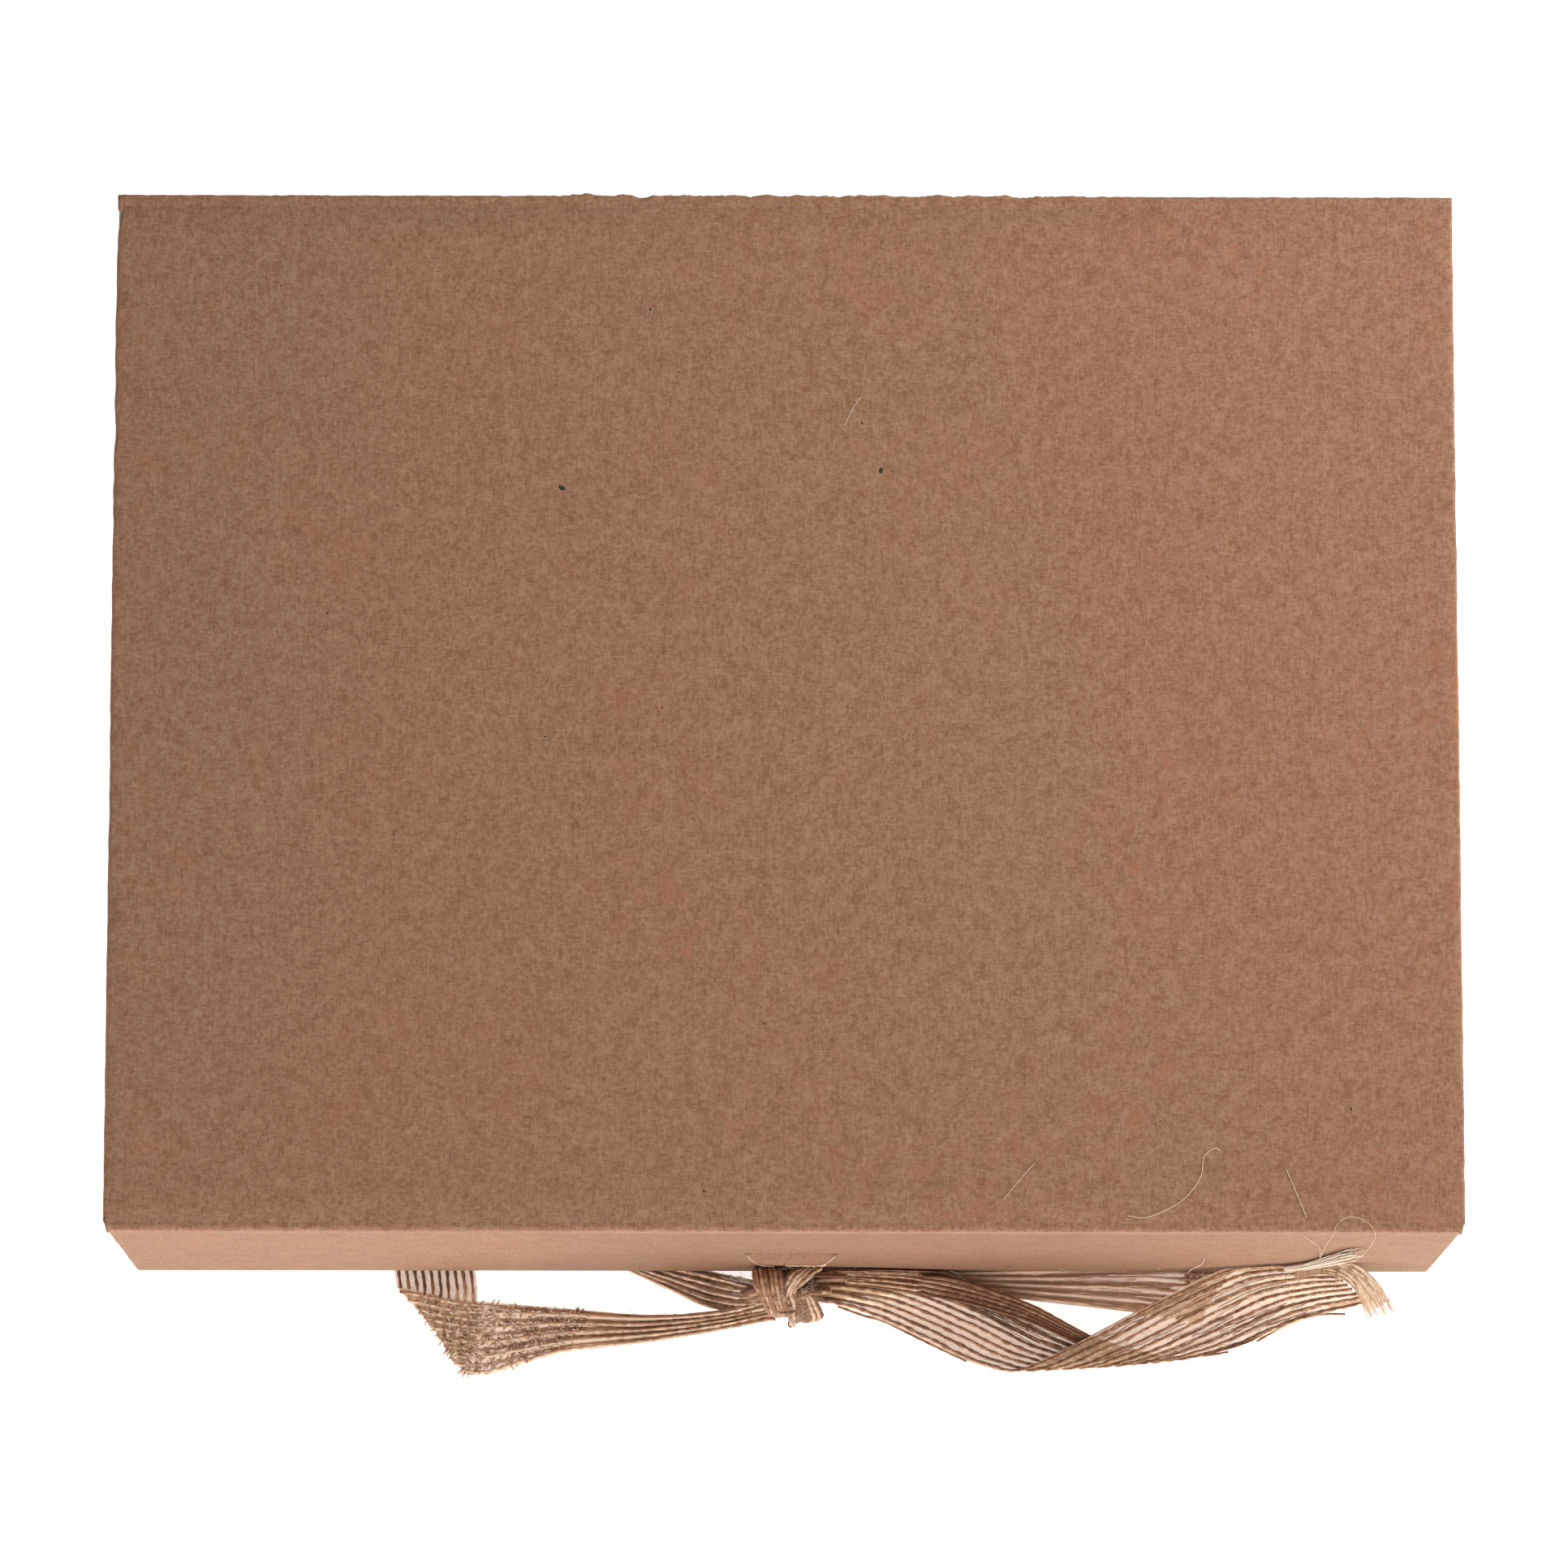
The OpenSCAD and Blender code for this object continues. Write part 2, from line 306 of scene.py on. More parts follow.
def kraft(name, base, dark, red, contrast=1.0, fleck=0.5, bump=0.6, sheen=0.14, painted_shade=None):
    """Unbleached kraft paper: cloudy pulp, two lays of fine fibre, reddish clouds, stray flecks.

    handled (x from, full, full, to, depth) darkens a stretch with painted shade, the shade that the ribbon and knot
    in front of it throw, most of all near its lower edge."""
    g = Nodes(name)
    vec = g.coord("Object")
    clump, cloud = g.noise(vec, 1350, 3, 0.8), g.noise(vec, 330)
    fibres = g.times(g.plus(g.noise(vec, 1, 3, 0.75, (420, 3400, 3400)),
                            g.noise(vec, 1, 3, 0.75, (3400, 420, 420))), 0.5)
    tone = g.plus(g.plus(g.times(clump, 0.40), g.times(fibres, 0.46)), g.times(cloud, 0.14))
    spread = 0.1 / contrast
    col = g.ramp(tone, (0.5 - spread, dark), (0.5 + spread, base))
    patches = g.ramp(g.noise(vec, 26), (0.5, BLACK), (0.72, WHITE))
    spots = g.ramp(g.noise(vec, 240, 4, 0.7), (0.5, BLACK), (0.62, WHITE))
    col = g.mix(g.times(g.times(patches, spots), 0.7), col, red)
    if fleck:
        cells = g.fill(g.new("TexVoronoi", feature="F1"), Vector=vec, Scale=95)
        pick = g.fill(g.new("SeparateColor"), Color=cells.outputs["Color"])
        small = g.math("LESS_THAN", cells.outputs["Distance"], 0.028)
        rare = g.math("GREATER_THAN", pick.outputs["Red"], 0.93)
        col = g.mix(g.times(g.times(small, rare), fleck), col, FLECK)
    # painted shade where the ribbon and knot shade the flap, darker towards its lower edge
    if painted_shade:
        x0, x1, x2, x3, depth = painted_shade
        xyz = g.fill(g.new("SeparateXYZ"), Vector=vec).outputs
        wander = g.times(g.math("SUBTRACT", g.noise(vec, 30, 2), 0.5), 0.05)
        x = g.plus(xyz["X"], wander)
        across = g.times(g.times(g.fade(x, x0, x1), g.fade(x, x3, x2)), depth)
        col = g.mix(g.times(across, g.fade(xyz["Z"], 0.046, 0.003, 0.45)), col, PAINT_FOR_SHADE)
    return g.finish(tone, bump, 0.00012, Base_Color=col, Roughness=g.remap(tone, 0.72, 0.9),
                    Specular_IOR_Level=0.14, Sheen_Weight=sheen, Sheen_Roughness=0.45,
                    Sheen_Tint=(1.0, 0.93, 0.86))


def greyboard(name):
    """Recycled greyboard: grey-brown pulp with pale and dark bits, layered at cut edges."""
    g = Nodes(name)
    vec = g.coord("Object")
    grain = g.noise(vec, 700, 4, 0.7)
    layers = g.noise(vec, 1, 2, 0.6, (120, 120, 5200))
    tone = g.plus(g.times(grain, 0.5), g.times(g.plus(g.noise(vec, 90), layers), 0.25))
    col = g.ramp(tone, (0.36, (0.15, 0.135, 0.115)), (0.5, (0.27, 0.25, 0.22)), (0.64, (0.4, 0.37, 0.33)))
    return g.finish(tone, 0.5, 0.0001, Base_Color=col, Roughness=g.remap(grain, 0.8, 0.95))


def jute(name, dark, mid, light):
    """Spun jute yarn: fibres running on a slant round the yarn, tone changing from yarn to yarn."""
    g = Nodes(name)
    strand = g.noise(g.coord("UV"), 1, 3, 0.7, (2.2, 9, 1))
    along = g.noise(g.coord("Object"), 800, 3, 0.7)
    yarn = g.new("Attribute", attribute_name="tone", attribute_type="GEOMETRY").outputs["Fac"]
    tone = g.plus(g.plus(g.times(strand, 0.45), g.times(along, 0.75)), g.times(yarn, 0.35))
    col = g.ramp(tone, (0.57, dark), (0.76, mid), (1.0, light))
    return g.finish(strand, 0.8, 0.00015, Base_Color=col, Roughness=g.remap(strand, 0.85, 0.62),
                    Specular_IOR_Level=0.3, Sheen_Weight=0.35, Sheen_Roughness=0.4,
                    Sheen_Tint=(1.0, 0.92, 0.8))


def organza(name):
    """Sheer weft between the yarns: a fine open weave that the ground shows through."""
    g = Nodes(name)
    uv = g.coord("UV")
    threads = [g.fill(g.new("TexWave", wave_type="BANDS", bands_direction=way, wave_profile="SIN"),
                      Vector=uv, Scale=1.1, Distortion=0.4).outputs["Fac"] for way in ("X", "Y")]
    mottle = g.noise(uv, 0.8)
    g.fill(g.shader, Base_Color=g.ramp(mottle, (0.3, (0.72, 0.45, 0.25)), (0.7, (0.88, 0.62, 0.40))),
           Alpha=g.remap(g.math("MAXIMUM", *threads), 0.42, 0.80), Roughness=g.remap(mottle, 0.45, 0.65),
           Sheen_Weight=0.25, Sheen_Roughness=0.4)
    return g.material


KRAFT = kraft("kraft_paper", (0.372, 0.205, 0.128), (0.215, 0.094, 0.047), (0.35, 0.13, 0.074), contrast=1.25)
KRAFT_FLAP = kraft("kraft_flap_shade_painted", (0.368, 0.213, 0.131), (0.226, 0.108, 0.055), (0.37, 0.15, 0.082),
                   contrast=1.25, sheen=0.05, painted_shade=(-0.068, -0.01, 0.035, 0.11, 0.56))
KRAFT_IN = kraft("kraft_lining", (0.37, 0.205, 0.13), (0.28, 0.15, 0.093), (0.34, 0.15, 0.085),
                 contrast=0.8, fleck=0.35, bump=0.35, sheen=0.15)
KRAFT_EDGE = kraft("kraft_cut_edge", (0.62, 0.43, 0.30), (0.46, 0.28, 0.18), (0.5, 0.26, 0.15),
                   fleck=0.0, sheen=0.4)
BOARD = greyboard("greyboard_pulp")
JUTE = jute("jute_yarn", (0.17, 0.068, 0.028), (0.44, 0.22, 0.113), (0.88, 0.63, 0.45))
JUTE_PALE = jute("jute_fibre", (0.58, 0.34, 0.19), (0.84, 0.58, 0.39), (0.97, 0.82, 0.66))
SHEER = organza("sheer_weft")
SPECK = kraft("bark_speck", (0.05, 0.035, 0.022), (0.02, 0.014, 0.01), (0.05, 0.02, 0.012), fleck=0.0)

for n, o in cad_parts.items():
    if n.endswith(("_board", "_wall")):
        mat = BOARD
    elif "lining" in n:
        mat = KRAFT_IN
    elif "ribbon" in n:
        mat = JUTE
    else:
        mat = KRAFT
    o.data.materials.clear()
    o.data.materials.append(mat)

# ---- paper-covered panels ----

# Boxes of the CAD pieces that the looks are fitted to, and the box's outer faces
LID_LO, LID_HI = node_box("cover_paper_lid")
FLAP_LO, FLAP_HI = node_box("cover_paper_flap")
BASE_LO, BASE_HI = node_box("cover_paper_base")
WINDOW_LO, WINDOW_HI = node_box("flap_tongue")
HALF_W, TOP, FRONT, BACK = LID_HI.x, LID_HI.z, FLAP_LO.y, BASE_HI.y
FOLD_Z = FLAP_HI.z - 0.3
SPINE_TOP = node_box("spine_board")[1].z + 0.2


def wob(x, y, z, scale, seed=0.0):
    """Smooth noise from -1 to 1, for everything that is a little uneven."""
    return noise.noise(Vector((x * scale + seed, y * scale - seed, z * scale + 2 * seed)))


def edit(mesh, *steps):
    """Runs the steps on an editable copy of the mesh and puts it back."""
    bm = bmesh.new()
    bm.from_mesh(mesh)
    for step in steps:
        step(bm)
    bm.to_mesh(mesh)
    bm.free()


def face_out(bm):
    """Turns the faces of a closed mesh outward."""
    bmesh.ops.recalc_face_normals(bm, faces=bm.faces)


def shade_by_angle(o):
    """Keeps edges sharper than 40 degrees sharp in the shading."""
    def sharpen(bm):
        for e in bm.edges:
            if len(e.link_faces) == 2 and e.calc_face_angle(0.0) > math.radians(40):
                e.smooth = False
    edit(o.data, sharpen)


def grid_mesh(name, rows, closed=False, caps=False):
    """A mesh through equal rows of points, its rows closed to rings and its ends capped on request."""
    verts = [mm(p) for row in rows for p in row]
    w, faces = len(rows[0]), []
    for i in range(len(rows) - 1):
        for k in range(w if closed else w - 1):
            a, b = i * w + k, i * w + (k + 1) % w
            faces.append((a, b, b + w, a + w))
    if caps:
        faces.append(tuple(reversed(range(w))))
        faces.append(tuple(range((len(rows) - 1) * w, len(rows) * w)))
    me = bpy.data.meshes.new(name)
    me.from_pydata(verts, [], faces)
    edit(me, face_out)
    me.update()
    return me


def lid_cover():
    """The lid panel: paper wrapped tight round the board's ends, edges a little uneven."""
    rows, x, z0, z1 = [], HALF_W, LID_LO.z + 0.08, TOP
    y0, y1 = LID_LO.y - 0.06, LID_HI.y + 0.06
    r, r_low, turned_in = 0.8, 0.3, 12  # roundings of the upper and lower edge, and the paper below
    sections = 150
    for i in range(sections + 1):
        t = i / sections
        t = t * t * (3 - 2 * t) if i < 4 or i > sections - 4 else t
        y = lerp(y0, y1, t)
        drop = 0.16 * max(0.0, 1 - min(y - y0, y1 - y) / 0.45) ** 2
        ring = []
        for s, seed in ((1, 3.1), (-1, 8.7)):
            edge = 0.16 * wob(0, y, 0, 0.35, seed) + 0.12 * wob(0, y, 0, 0.07, seed)
            if s < 0:  # the left end is worn: pressed in at the back corner and at one dent
                edge -= 0.75 * max(0.0, (y - (y1 - 1.6)) / 1.6) + 0.25 * peak(y, 55, 4)
            arc = []
            for k in range(5):
                a = pi / 2 * k / 4
                arc.append((x - r + r * cos(a) + edge, z1 - r + r * sin(a) - drop))
            low = [(x - r_low + r_low * sin(pi / 2 * k / 2) + edge,
                    z0 + r_low - r_low * cos(pi / 2 * k / 2)) for k in range(3)]
            side = [(x - turned_in, z0)] + low + arc + [(x - 2.5, z1 - drop), (x - 9, z1 - drop)]
            side = [Vector((s * a, y, b)) for a, b in side]
            ring += side if s > 0 else side[::-1]
        rows.append(ring)
    me = grid_mesh("lid_cover", rows, closed=True, caps=True)
    o = new_object("lid_cover", me, KRAFT, "lid")
    shade_by_angle(o)
    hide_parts("cover_paper_lid")


def fold_strip(name, path, half, start, end, rough, stands_for):
    """A board-free band of paper round a fold. path runs in the YZ plane, half gives its half width
    at the lid and at the other end, which it reaches after narrow_by of its path."""
    rows, sections, narrow_by = [], 420, 0.42
    pts = spline([(0, y, z) for y, z in path], 15)
    for i in range(sections + 1):
        s = lerp(-1, 1, i / sections)
        row = []
        for k, p in enumerate(pts):
            t = k / (len(pts) - 1)
            x = s * lerp(half[0], half[1], min(1.0, t / narrow_by))
            dy, dz = rough(x, t)
            row.append(Vector((x, p.y + dy, p.z + dz)))
        rows.append(row)
    me = grid_mesh(name, rows)
    o = new_object(name, me, KRAFT, None)
    mod = o.modifiers.new("paper", "SOLIDIFY")
    mod.thickness, mod.offset = 0.00026, -1  # metres, inward
    inside = high(0.03)
    if sum(f.normal.dot(f.center - inside) for f in me.polygons) < 0:
        me.flip_normals()
    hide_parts(stands_for)
    mm(start)
    mm(end)
    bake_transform(o)


def front_rough(x, t):
    """How far the front fold's paper stands off its path, in Y and Z: a little fuzz, ends pressed in."""
    bell = sin(pi * t)
    fuzz = 0.10 * wob(x, t, 0, 1.9, 1.3) + 0.06 * wob(x, t, 0, 6.0, 4.0)
    end = 0.35 if abs(x) > HALF_W - 0.9 and 0.25 < t < 0.6 else 0.0
    return -(fuzz * 0.8 + end) * bell, fuzz * bell


def back_rough(x, t):
    """The same for the back fold, which is scuffed and torn along its middle."""
    bell = sin(pi * t) ** 0.7
    worn = unit((x + 55) / 12) * unit((72 - x) / 30)
    fuzz = 0.10 * wob(x, t, 0, 1.1, 2.2) + 0.07 * wob(x, t, 0, 4.0, 6.1)
    tear = 0.42 * wob(x, t * 2, 0, 0.33, 5.0) + 0.28 * wob(x, t * 3, 0, 1.1, 9.0)
    dip = -0.5 * peak(x, -27, 3.2)
    return (fuzz + worn * tear + dip + 0.12 * worn) * bell, (fuzz * 0.6 + worn * tear * 0.3) * bell


def base_cover():
    """Bottom and spine under one sheet: an L in section, its edges rounded by the wrapped paper."""
    thick, bend = 2.62, 0.7  # board with its paper, and the rounding where bottom and spine meet
    outer = [(BASE_LO.y, 2.55), (BASE_LO.y, 0.5), (BASE_LO.y + 0.15, 0.15), (BASE_LO.y + 0.5, 0.0)]
    for k in range(5):
        a = pi / 2 * k / 4
        outer.append((BACK - bend + bend * sin(a), bend - bend * cos(a)))
    outer += [(BACK, SPINE_TOP), (BACK - 0.35, SPINE_TOP)]
    inner = [(BACK - thick, SPINE_TOP), (BACK - thick, thick), (BASE_LO.y + 0.4, thick)]
    rows = []
    ends = ((HALF_W, 0.45), (HALF_W - 0.08, 0.12), (HALF_W * 0.9985, 0.0))
    for x, inset in [(-x, i) for x, i in ends] + [(0.0, 0.0)] + list(ends[::-1]):
        row = []
        for y, z in outer + inner:
            oy = -inset if y > BACK - 1.3 else (inset if y < BASE_LO.y + 1 else 0.0)
            oz = inset if z < 1 else (-inset if z > FOLD_Z else 0.0)
            row.append(Vector((x, y + oy, z + oz)))
        rows.append(row)
    me = grid_mesh("base_cover", rows, closed=True)
    edit(me, lambda bm: bmesh.ops.holes_fill(bm, edges=[e for e in bm.edges if e.is_boundary]),
         lambda bm: bmesh.ops.triangulate(bm, faces=[f for f in bm.faces if len(f.verts) > 4]), face_out)
    o = new_object("base_cover", me, KRAFT, "base")
    shade_by_angle(o)
    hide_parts("cover_paper_base")


def curve_plate(name, outlines, thickness, bevel):
    """Mesh of a flat plate in the XZ plane, centred on Y 0, with softly rounded edges, holes allowed."""
    cu = bpy.data.curves.new(name, "CURVE")
    cu.dimensions, cu.fill_mode = "2D", "BOTH"
    cu.extrude, cu.bevel_depth, cu.bevel_resolution = (thickness / 2 - bevel) / 1000, bevel / 1000, 3
    cu.offset = -bevel / 1000
    for outline in outlines:
        sp = cu.splines.new("POLY")
        sp.points.add(len(outline) - 1)
        for pt, (x, z) in zip(sp.points, outline):
            pt.co = (x / 1000, z / 1000, 0, 1)
        sp.use_cyclic_u = True
    tmp = link(name + "_curve", cu)
    me = bpy.data.meshes.new_from_object(tmp.evaluated_get(bpy.context.evaluated_depsgraph_get()))
    bpy.data.objects.remove(tmp)
    me.name = name
    for v in me.vertices:
        v.co = Vector((v.co.x, -v.co.z, v.co.y))
    edit(me, lambda bm: bmesh.ops.remove_doubles(bm, verts=bm.verts, dist=1e-6), face_out)
    return me


def rounded(points, radius, n=4):
    """The outline with its corners rounded."""
    out = []
    for i, p in enumerate(points):
        a, b, c = Vector(points[i - 1]), Vector(p), Vector(points[(i + 1) % len(points)])
        u, v = (a - b).normalized(), (c - b).normalized()
        half = u.angle(v) / 2
        d = radius / math.tan(half)
        p0, p1 = b + u * d, b + v * d
        for k in range(n + 1):
            t = k / n
            q = p0.lerp(b, t).lerp(b.lerp(p1, t), t)
            out.append((q.x, q.y))
    return out


# The tongue: its fold, its middle, its width at the fold and at the tip, its length and its stand-off
TONGUE_Z = WINDOW_HI.z
TONGUE_X = (WINDOW_LO.x + WINDOW_HI.x) / 2
TONGUE_TOP = WINDOW_HI.x - WINDOW_LO.x - 0.7
TONGUE_TIP = TONGUE_TOP - 4.4
TONGUE_LEN = 6.0
TONGUE_LIFT = math.radians(17)


def tongue_point(x, y, z):
    """A point of the flat tongue, z down from its fold, as it stands off the flap."""
    return Vector((TONGUE_X + x, FRONT + y * cos(TONGUE_LIFT) + z * sin(TONGUE_LIFT),
                   TONGUE_Z - y * sin(TONGUE_LIFT) + z * cos(TONGUE_LIFT)))


def tongue_curl(x, z):
    """How far the tongue's sides bend back towards the flap."""
    return 0.5 * (x / 9) ** 2 * (-z / TONGUE_LEN) * 0.6


def flap_cover():
    """The flap's front: paper round the board's edges, with the tongue's cut-out."""
    x1, x0 = FLAP_HI.x, FLAP_HI.x - 1.2
    z0, z1 = FLAP_LO.z, FLAP_HI.z + 0.06
    edge = []
    corners = rounded([(-x0, z0), (x0, z0), (x1, z1), (-x1, z1)], 0.9)
    for a, b in zip(corners, corners[1:] + corners[:1]):
        n = max(1, int((Vector(b) - Vector(a)).length / 2.5))
        for k in range(n):
            q = Vector(a).lerp(Vector(b), k / n)
            w = 0.10 * wob(q.x, 0, q.y, 0.3, 7.0)
            edge.append((q.x + (w if abs(q.x) > x0 - 2 else 0), q.y + (w if q.y < z0 + 1 else 0)))
    cut, fold_z, tip_z = 0.4, TONGUE_Z - 0.25, TONGUE_Z - TONGUE_LEN - 0.4
    top, tip = TONGUE_TOP / 2 + cut, TONGUE_TIP / 2 + cut
    hole = rounded([(TONGUE_X - top, fold_z), (TONGUE_X + top, fold_z),
                    (TONGUE_X + tip, tip_z), (TONGUE_X - tip, tip_z)], 0.5)
    t = FLAP_HI.y - FLAP_LO.y - 0.08
    me = curve_plate("flap_cover", [edge, hole], t, 0.4)
    me.transform(Matrix.Translation((0, (FRONT + t / 2) / 1000, 0)))
    o = new_object("flap_cover", me, KRAFT_FLAP, "flap")
    shade_by_angle(o)
    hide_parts("cover_paper_flap")


def tongue():
    """The die-cut tongue: pale torn fibre along its cut edges, standing off on the ribbon."""
    top, tip = TONGUE_TOP / 2, TONGUE_TIP / 2
    outline = rounded([(-tip, -TONGUE_LEN), (tip, -TONGUE_LEN), (top, 0), (-top, 0)], 1.2)
    dense = []
    for a, b in zip(outline, outline[1:] + outline[:1]):
        n = max(1, int((Vector(b) - Vector(a)).length / 0.8))
        dense += [tuple(Vector(a).lerp(Vector(b), k / n)) for k in range(n)]
    thickness = 0.8
    me = curve_plate("tongue", [dense], thickness, 0.12)
    cut_faces = [abs(f.normal.y) < 0.8 and f.center.z < -0.0003 for f in me.polygons]
    for v in me.vertices:
        x, y, z = v.co.x * 1000, v.co.y * 1000 + thickness / 2, v.co.z * 1000
        y += tongue_curl(x, z) - 0.1 * sin(-z / TONGUE_LEN * pi)
        v.co = mm(tongue_point(x, y, z))
    o = new_object("tongue", me, KRAFT_FLAP, "tongue")
    me.materials.append(KRAFT_EDGE)
    for f, is_cut in zip(me.polygons, cut_faces):
        f.material_index = int(is_cut)
    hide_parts("flap_tongue")
    shade_by_angle(o)
    burr, torn = Build(), ((0.09, 1), (0.05, 7), (0.14, 4))
    for side, curl in ((-1, 0.0), (1, 0.35)):
        path = [tongue_point(side * x, tongue_curl(x, z) - 0.12 - curl * max(0.0, 1 + z / 3), z)
                for x, z in ((top - 0.2, -0.5), (top - 0.4, -1.1), (top - 0.8, -2.1), (tip + 0.75, -3.9),
                             (tip - 0.2, -5.2), (tip - 1.3, -5.9), (tip - 3.4, -6.05))]
        line = spline(path, 50)
        for k in range(5):
            pts = [p + Vector([reach * wob(i * 0.3, k * 4, side, 0.8, seed) for reach, seed in torn])
                   for i, p in enumerate(line)]
            burr.tube(pts, lambda t, k=k: 0.11 * (1 - 0.6 * t) * (1 + 0.4 * wob(t * 30, k, 0, 1, 2)), 5, 1.0)
    o = burr.place("tongue_cut_fibre", KRAFT_EDGE, "tongue")


lid_cover()
base_cover()
flap_cover()
tongue()

# The two paper hinges, each a path from the lid round the fold
front = [(LID_LO.y + 0.5, TOP - 0.05), (LID_LO.y - 0.15, TOP - 0.14), (FRONT + 0.9, TOP - 0.08),
         (FRONT + 0.35, TOP - 0.3), (FRONT + 0.02, TOP - 0.8), (FRONT - 0.03, TOP - 2), (FRONT - 0.03, FOLD_Z - 0.7)]
fold_strip("front_fold", front, (HALF_W - 0.05, FLAP_HI.x),
           (0, LID_LO.y - 0.2, TOP), (0, FRONT, FOLD_Z), front_rough, "front_hinge_paper")
back = [(LID_HI.y - 0.5, TOP - 0.05), (LID_HI.y + 0.3, TOP - 0.16), (BACK - 1.4, TOP - 0.1),
        (BACK - 0.45, TOP - 0.2), (BACK - 0.06, TOP - 0.7), (BACK + 0.03, TOP - 2), (BACK + 0.03, FOLD_Z - 0.5)]
fold_strip("back_fold", back, (HALF_W - 0.1, HALF_W - 0.05),
           (0, LID_HI.y + 0.2, TOP), (0, BACK, FOLD_Z), back_rough, "back_hinge_paper")

# ---- ribbon ----

YARNS = 10
WIDTH = 16.0
PLEATS = 10


def pleat(u, deep):
    """Height of a zigzag of pleats at u across the ribbon."""
    return deep * abs(((u * PLEATS + 0.5) % 2) - 1)


def spare(width):
    """Depth of the pleats that take up what a ribbon this narrow has left of its full width."""
    return math.sqrt(max(0.0, WIDTH ** 2 - width ** 2)) / PLEATS


def gathered_surface(edge_a, edge_b, samples, seed):
    """Point maker for a ribbon between two edge curves. Where it is narrower than its real
    width the rest goes into pleats, so the cloth keeps its width measured over the folds."""
    a, b = spline(edge_a, samples), spline(edge_b, samples)

    def at(i, u):
        pa, pb = a[i], b[i]
        j0, j1 = max(i - 1, 0), min(i + 1, samples - 1)
        along = a[j1] + b[j1] - a[j0] - b[j0]
        up = along.cross(pb - pa).normalized()
        if up.z < 0:
            up = -up
        deep = min(2.6, spare((pb - pa).length))
        drift = 0.35 * wob(i * 0.13, u * 3, seed, 0.9, seed)
        fade = min(1.0, deep / 0.5)
        return pa.lerp(pb, u) + up * (pleat(u, deep) + drift * fade * 0.6
                                      + 0.12 * wob(i * 0.1, u * 5, 0, 0.8, seed + 5))
    return at


def ribbon(name, at, samples, stands_for, hairs, seed, body="base",
           yarn_r=0.32, tones=None, tufts=(), slubs=(), mess=0.012,
           painted_light_and_shade=None, fibres=()):
    """Yarns laid side by side with the sheer weft between them.

    at(i, u) gives the cloth's point at sample i, u across. tones lighten yarns, and light and shade are painted
    along the strand by a function of 0 to 1 that lightens stretches the lamps leave in shade and darkens stretches
    in shade by the flap and the knot. tufts, slubs and fibres add loose fibre to the samples they name."""
    yarns = Build()
    for k in range(YARNS):
        u0 = (k + 0.5) / YARNS
        tone = tones[k] if tones else uniform(0.1, 0.75)
        pts = []
        for i in range(samples):
            u = u0 + mess * wob(i * 0.2, k * 3.3, 0, 0.5, seed + 2) + 0.3 * mess * wob(i, k * 3.3, 0, 0.7, seed)
            pts.append(at(i, min(max(u, 0.02), 0.98)) + high(yarn_r * 0.35))
        phase = uniform(0, 9)
        # each yarn's tone also carries the painted light and shade given along the strand
        yarns.tube(pts, lambda t, p=phase: yarn_r * (1 + 0.4 * wob(t * 60 + p, 0, 0, 1.3, p)),
                   7, (lambda t, b=tone: b + painted_light_and_shade(t)) if painted_light_and_shade else tone, True)
    for i0, i1, count, size in ((2, samples - 2, hairs, 1.0), *tufts):
        for _ in range(count):
            i, k = random.randrange(i0, i1), random.randrange(YARNS)
            p = at(i, (k + uniform(0.2, 0.8)) / YARNS)
            along = (at(i + 1, 0.5) - at(i - 1, 0.5)).normalized() * random.choice((-1.2, 1.2))
            d = random_vector(z=(0, 0.7)) + along
            yarns.hair(p + high(yarn_r * 0.5), d, uniform(0.7, 2.8) * size, tone=uniform(0.1, 1.1))
    for i0, i1, count in slubs:
        for _ in range(count):
            p = at(random.randrange(i0, i1), uniform(0.02, 0.98)) + high(yarn_r * 0.7)
            d = random_vector(z=(-0.1, 0.4))
            yarns.hair(p, d, uniform(0.5, 1.4), uniform(0.18, 0.40), uniform(0.5, 1.7))
    for i0, i1, u0, u1, count, lo, hi in fibres:
        for _ in range(count):
            n = random.randint(18, 55)
            i, u, drift = random.randint(i0, max(i0, i1 - n)), uniform(u0, u1), random.gauss(0, 0.05)
            lift, phase = uniform(0.15, 0.75), uniform(0, 50)
            pts = []
            for k in range(n):
                place = u + drift * k / n + 0.02 * wob(k * 0.2, phase, 0, 1, 0)
                rise = lift * sin(pi * (0.15 + 0.7 * k / n))
                pts.append(at(min(i + k, samples - 1), min(max(place, 0.01), 0.99)) + high(rise))
            base = uniform(lo, hi) + (painted_light_and_shade(i / samples) if painted_light_and_shade else 0)
            yarns.tube(pts, uniform(0.06, 0.14), 4, base)
    o = yarns.place(name + "_yarns", JUTE, body)
    cloth = Build()
    across = [j / 40 for j in range(41)]
    rows = [[at(i, u) for u in across] for i in range(samples)]
    lengths = [0.0]
    for i in range(1, samples):
        lengths.append(lengths[-1] + (at(i, 0.5) - at(i - 1, 0.5)).length)
    cloth.strip(rows, lengths, [u * WIDTH for u in across])
    c = cloth.place(name + "_sheer", SHEER, body)
    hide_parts(stands_for)


WALL = node_box("tray_wrap")[0].y
F = FRONT + 1.4  # where the ribbon's curves are measured forward from


def ahead(points, origin=F):
    """Points given by x, how far they lie in front of the origin, and z."""
    return [(x, origin - d, z) for x, d, z in points]


# Left strand: out from under the flap, folded over on a slant, then on to the knot
LEFT_UP = ahead([(-76.6, 4.7, 2.2), (-69, 6.5, 2.1), (-61, 7.3, 1.9), (-42.5, 8.8, 1.2), (-26, 10, 1.2),
                 (-12, 9.3, 2.5), (-3, 7.4, 5)])
LEFT_LO = ahead([(-76.6, 22.6, 2.2), (-62, 22.8, 1.9), (-56, 21.5, 1.6), (-42.5, 17.6, 1), (-26, 15.6, 1),
                 (-12, 13.4, 1.4), (-1, 11.2, 2.2)])
LEFT_N, LEFT_LENGTH = 190, 86.0


